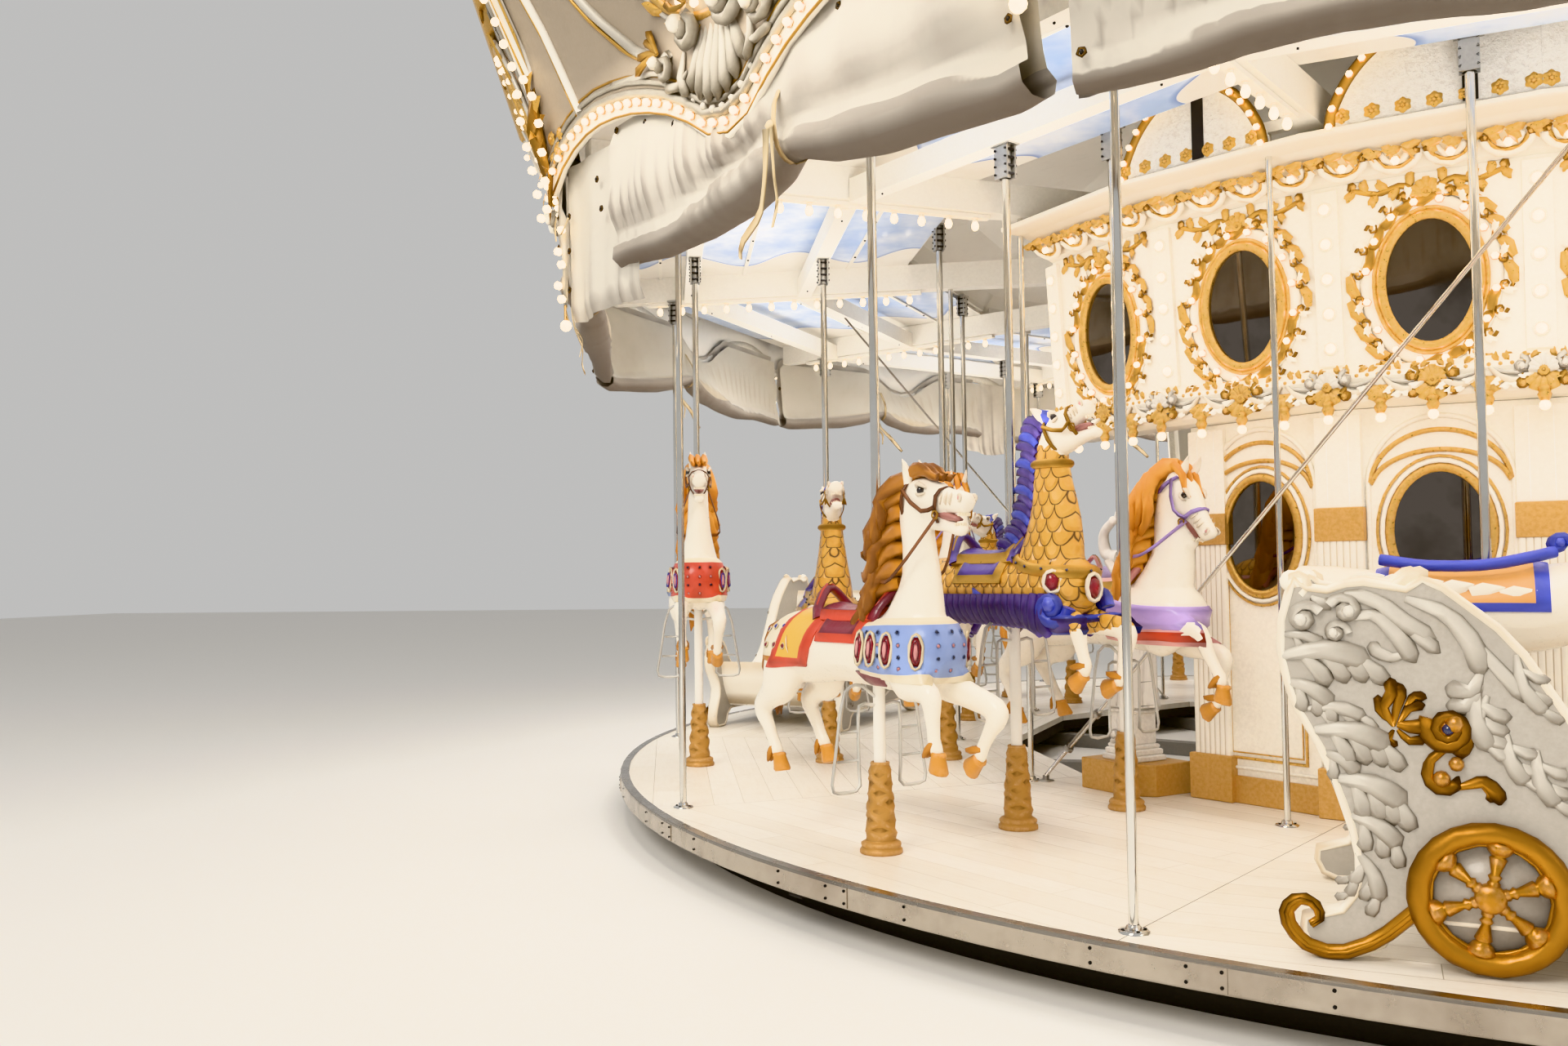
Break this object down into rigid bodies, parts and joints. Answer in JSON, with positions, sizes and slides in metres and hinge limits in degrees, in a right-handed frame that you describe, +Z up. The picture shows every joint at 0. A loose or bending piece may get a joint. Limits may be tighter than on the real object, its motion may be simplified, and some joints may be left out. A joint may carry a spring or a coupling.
{
  "type": "fairground carousel",
  "caption": "Fairground carousel: a turning platform with jumping mounts, chariots, a mirrored centre drum and a lamp-lit tented roof with rounding boards.",
  "frame": {"origin": "on the ground at the centre of the machine, on the underside of the base", "axes": "+Z up along the turning axis; the sector lines lie at multiples of 30 degrees from +X"},
  "size_m": [12.3198, 12.3198, 7],
  "materials": {
    "white_paint": "satin",
    "white_boards": "painted, worn satin",
    "gold_paint": "satin gold",
    "bright_rim": "brushed",
    "dark_steel": "matt",
    "chrome_tube": "polished",
    "cream_canvas": "woven canvas",
    "silver_paint": "satin silver white",
    "taupe_paint": "satin",
    "mount_white": "gloss",
    "mount_gold": "satin",
    "mirror_glass": "silvered",
    "ceiling_blue": "satin",
    "lamp_glass": "warm lit"
  },
  "bodies": {
    "base": {"base_sleepers": "dark_steel", "centre_mast": "dark_steel"},
    "platform": {"deck_boards": "white_boards", "deck_frame": "bright_rim", "drum_wall_front": "white_paint", "drum_wall_back": "white_paint", "garland_band": "gold_paint", "upper_wall": "white_paint", "drum_cornice": "white_paint", "sweep_frame_01": "white_paint", "sweep_frame_02": "white_paint", "sweep_frame_03": "white_paint", "sweep_frame_04": "white_paint", "sweep_frame_05": "white_paint", "sweep_frame_06": "white_paint", "sweep_frame_07": "white_paint", "sweep_frame_08": "white_paint", "sweep_frame_09": "white_paint", "sweep_frame_10": "white_paint", "sweep_frame_11": "white_paint", "sweep_frame_12": "white_paint", "sweep_hub": "dark_steel", "ceiling_panels": "white_paint", "rounding_boards": "taupe_paint", "roof_tent": "cream_canvas", "side_curtains": "cream_canvas", "chariot_1": "silver_paint", "chariot_2": "silver_paint", "chariot_3": "silver_paint", "chariot_4": "silver_paint", "drum_statue_front": "white_paint", "drum_statue_back": "white_paint"},
    "outer_mount_01": {"outer_mount_01": "mount_white"},
    "middle_mount_01": {"middle_mount_01": "mount_gold"},
    "inner_mount_01": {"inner_mount_01": "mount_white"},
    "outer_mount_02": {"outer_mount_02": "mount_white"},
    "middle_mount_02": {"middle_mount_02": "mount_gold"},
    "inner_mount_02": {"inner_mount_02": "mount_white"},
    "inner_mount_03": {"inner_mount_03": "mount_white"},
    "outer_mount_04": {"outer_mount_04": "mount_white"},
    "middle_mount_04": {"middle_mount_04": "mount_gold"},
    "inner_mount_04": {"inner_mount_04": "mount_white"},
    "outer_mount_05": {"outer_mount_05": "mount_white"},
    "middle_mount_05": {"middle_mount_05": "mount_gold"},
    "inner_mount_05": {"inner_mount_05": "mount_white"},
    "inner_mount_06": {"inner_mount_06": "mount_white"},
    "outer_mount_07": {"outer_mount_07": "mount_white"},
    "middle_mount_07": {"middle_mount_07": "mount_gold"},
    "inner_mount_07": {"inner_mount_07": "mount_white"},
    "outer_mount_08": {"outer_mount_08": "mount_white"},
    "middle_mount_08": {"middle_mount_08": "mount_gold"},
    "inner_mount_08": {"inner_mount_08": "mount_white"},
    "inner_mount_09": {"inner_mount_09": "mount_white"},
    "outer_mount_10": {"outer_mount_10": "mount_white"},
    "middle_mount_10": {"middle_mount_10": "mount_gold"},
    "inner_mount_10": {"inner_mount_10": "mount_white"},
    "outer_mount_11": {"outer_mount_11": "mount_white"},
    "middle_mount_11": {"middle_mount_11": "mount_gold"},
    "inner_mount_11": {"inner_mount_11": "mount_white"},
    "inner_mount_12": {"inner_mount_12": "mount_white"}
  },
  "joints": [
    {"name": "platform_spin", "type": "hinge", "parent": "base", "child": "platform", "pos_m": [0, 0, 0], "axis": [0, 0, 1], "continuous": true},
    {"name": "outer_mount_01_rise", "type": "slide", "parent": "platform", "child": "outer_mount_01", "axis": [0, 0, 1], "range_m": [-0.2705, 0.0105]},
    {"name": "middle_mount_01_rise", "type": "slide", "parent": "platform", "child": "middle_mount_01", "axis": [0, 0, 1], "range_m": [-0.009, 0.2305]},
    {"name": "inner_mount_01_rise", "type": "slide", "parent": "platform", "child": "inner_mount_01", "axis": [0, 0, 1], "range_m": [-0.1806, 0.0072]},
    {"name": "outer_mount_02_rise", "type": "slide", "parent": "platform", "child": "outer_mount_02", "axis": [0, 0, 1], "range_m": [-0.0105, 0.2705]},
    {"name": "middle_mount_02_rise", "type": "slide", "parent": "platform", "child": "middle_mount_02", "axis": [0, 0, 1], "range_m": [-0.2305, 0.009]},
    {"name": "inner_mount_02_rise", "type": "slide", "parent": "platform", "child": "inner_mount_02", "axis": [0, 0, 1], "range_m": [-0.0072, 0.1806]},
    {"name": "inner_mount_03_rise", "type": "slide", "parent": "platform", "child": "inner_mount_03", "axis": [0, 0, 1], "range_m": [-0.1806, 0.0072]},
    {"name": "outer_mount_04_rise", "type": "slide", "parent": "platform", "child": "outer_mount_04", "axis": [0, 0, 1], "range_m": [-0.0105, 0.2705]},
    {"name": "middle_mount_04_rise", "type": "slide", "parent": "platform", "child": "middle_mount_04", "axis": [0, 0, 1], "range_m": [-0.2305, 0.009]},
    {"name": "inner_mount_04_rise", "type": "slide", "parent": "platform", "child": "inner_mount_04", "axis": [0, 0, 1], "range_m": [-0.0072, 0.1806]},
    {"name": "outer_mount_05_rise", "type": "slide", "parent": "platform", "child": "outer_mount_05", "axis": [0, 0, 1], "range_m": [-0.2705, 0.0105]},
    {"name": "middle_mount_05_rise", "type": "slide", "parent": "platform", "child": "middle_mount_05", "axis": [0, 0, 1], "range_m": [-0.009, 0.2305]},
    {"name": "inner_mount_05_rise", "type": "slide", "parent": "platform", "child": "inner_mount_05", "axis": [0, 0, 1], "range_m": [-0.1806, 0.0072]},
    {"name": "inner_mount_06_rise", "type": "slide", "parent": "platform", "child": "inner_mount_06", "axis": [0, 0, 1], "range_m": [-0.0072, 0.1806]},
    {"name": "outer_mount_07_rise", "type": "slide", "parent": "platform", "child": "outer_mount_07", "axis": [0, 0, 1], "range_m": [-0.2705, 0.0105]},
    {"name": "middle_mount_07_rise", "type": "slide", "parent": "platform", "child": "middle_mount_07", "axis": [0, 0, 1], "range_m": [-0.009, 0.2305]},
    {"name": "inner_mount_07_rise", "type": "slide", "parent": "platform", "child": "inner_mount_07", "axis": [0, 0, 1], "range_m": [-0.1806, 0.0072]},
    {"name": "outer_mount_08_rise", "type": "slide", "parent": "platform", "child": "outer_mount_08", "axis": [0, 0, 1], "range_m": [-0.01, 0.27]},
    {"name": "middle_mount_08_rise", "type": "slide", "parent": "platform", "child": "middle_mount_08", "axis": [0, 0, 1], "range_m": [-0.2305, 0.009]},
    {"name": "inner_mount_08_rise", "type": "slide", "parent": "platform", "child": "inner_mount_08", "axis": [0, 0, 1], "range_m": [-0.0072, 0.1806]},
    {"name": "inner_mount_09_rise", "type": "slide", "parent": "platform", "child": "inner_mount_09", "axis": [0, 0, 1], "range_m": [-0.1806, 0.0072]},
    {"name": "outer_mount_10_rise", "type": "slide", "parent": "platform", "child": "outer_mount_10", "axis": [0, 0, 1], "range_m": [-0.0105, 0.2705]},
    {"name": "middle_mount_10_rise", "type": "slide", "parent": "platform", "child": "middle_mount_10", "axis": [0, 0, 1], "range_m": [-0.2305, 0.009]},
    {"name": "inner_mount_10_rise", "type": "slide", "parent": "platform", "child": "inner_mount_10", "axis": [0, 0, 1], "range_m": [-0.0072, 0.1806]},
    {"name": "outer_mount_11_rise", "type": "slide", "parent": "platform", "child": "outer_mount_11", "axis": [0, 0, 1], "range_m": [-0.2705, 0.0105]},
    {"name": "middle_mount_11_rise", "type": "slide", "parent": "platform", "child": "middle_mount_11", "axis": [0, 0, 1], "range_m": [-0.009, 0.2305]},
    {"name": "inner_mount_11_rise", "type": "slide", "parent": "platform", "child": "inner_mount_11", "axis": [0, 0, 1], "range_m": [-0.1806, 0.0072]},
    {"name": "inner_mount_12_rise", "type": "slide", "parent": "platform", "child": "inner_mount_12", "axis": [0, 0, 1], "range_m": [-0.0072, 0.1806]}
  ],
  "couplings": [
    {"joint": "outer_mount_01_rise", "follows": "outer_mount_08_rise", "ratio": -1},
    {"joint": "middle_mount_01_rise", "follows": "outer_mount_08_rise", "ratio": 0.852},
    {"joint": "inner_mount_01_rise", "follows": "outer_mount_08_rise", "ratio": -0.667},
    {"joint": "outer_mount_02_rise", "follows": "outer_mount_08_rise", "ratio": 1},
    {"joint": "middle_mount_02_rise", "follows": "outer_mount_08_rise", "ratio": -0.852},
    {"joint": "inner_mount_02_rise", "follows": "outer_mount_08_rise", "ratio": 0.667},
    {"joint": "inner_mount_03_rise", "follows": "outer_mount_08_rise", "ratio": -0.667},
    {"joint": "outer_mount_04_rise", "follows": "outer_mount_08_rise", "ratio": 1},
    {"joint": "middle_mount_04_rise", "follows": "outer_mount_08_rise", "ratio": -0.852},
    {"joint": "inner_mount_04_rise", "follows": "outer_mount_08_rise", "ratio": 0.667},
    {"joint": "outer_mount_05_rise", "follows": "outer_mount_08_rise", "ratio": -1},
    {"joint": "middle_mount_05_rise", "follows": "outer_mount_08_rise", "ratio": 0.852},
    {"joint": "inner_mount_05_rise", "follows": "outer_mount_08_rise", "ratio": -0.667},
    {"joint": "inner_mount_06_rise", "follows": "outer_mount_08_rise", "ratio": 0.667},
    {"joint": "outer_mount_07_rise", "follows": "outer_mount_08_rise", "ratio": -1},
    {"joint": "middle_mount_07_rise", "follows": "outer_mount_08_rise", "ratio": 0.852},
    {"joint": "inner_mount_07_rise", "follows": "outer_mount_08_rise", "ratio": -0.667},
    {"joint": "middle_mount_08_rise", "follows": "outer_mount_08_rise", "ratio": -0.852},
    {"joint": "inner_mount_08_rise", "follows": "outer_mount_08_rise", "ratio": 0.667},
    {"joint": "inner_mount_09_rise", "follows": "outer_mount_08_rise", "ratio": -0.667},
    {"joint": "outer_mount_10_rise", "follows": "outer_mount_08_rise", "ratio": 1},
    {"joint": "middle_mount_10_rise", "follows": "outer_mount_08_rise", "ratio": -0.852},
    {"joint": "inner_mount_10_rise", "follows": "outer_mount_08_rise", "ratio": 0.667},
    {"joint": "outer_mount_11_rise", "follows": "outer_mount_08_rise", "ratio": -1},
    {"joint": "middle_mount_11_rise", "follows": "outer_mount_08_rise", "ratio": 0.852},
    {"joint": "inner_mount_11_rise", "follows": "outer_mount_08_rise", "ratio": -0.667},
    {"joint": "inner_mount_12_rise", "follows": "outer_mount_08_rise", "ratio": 0.667}
  ]
}
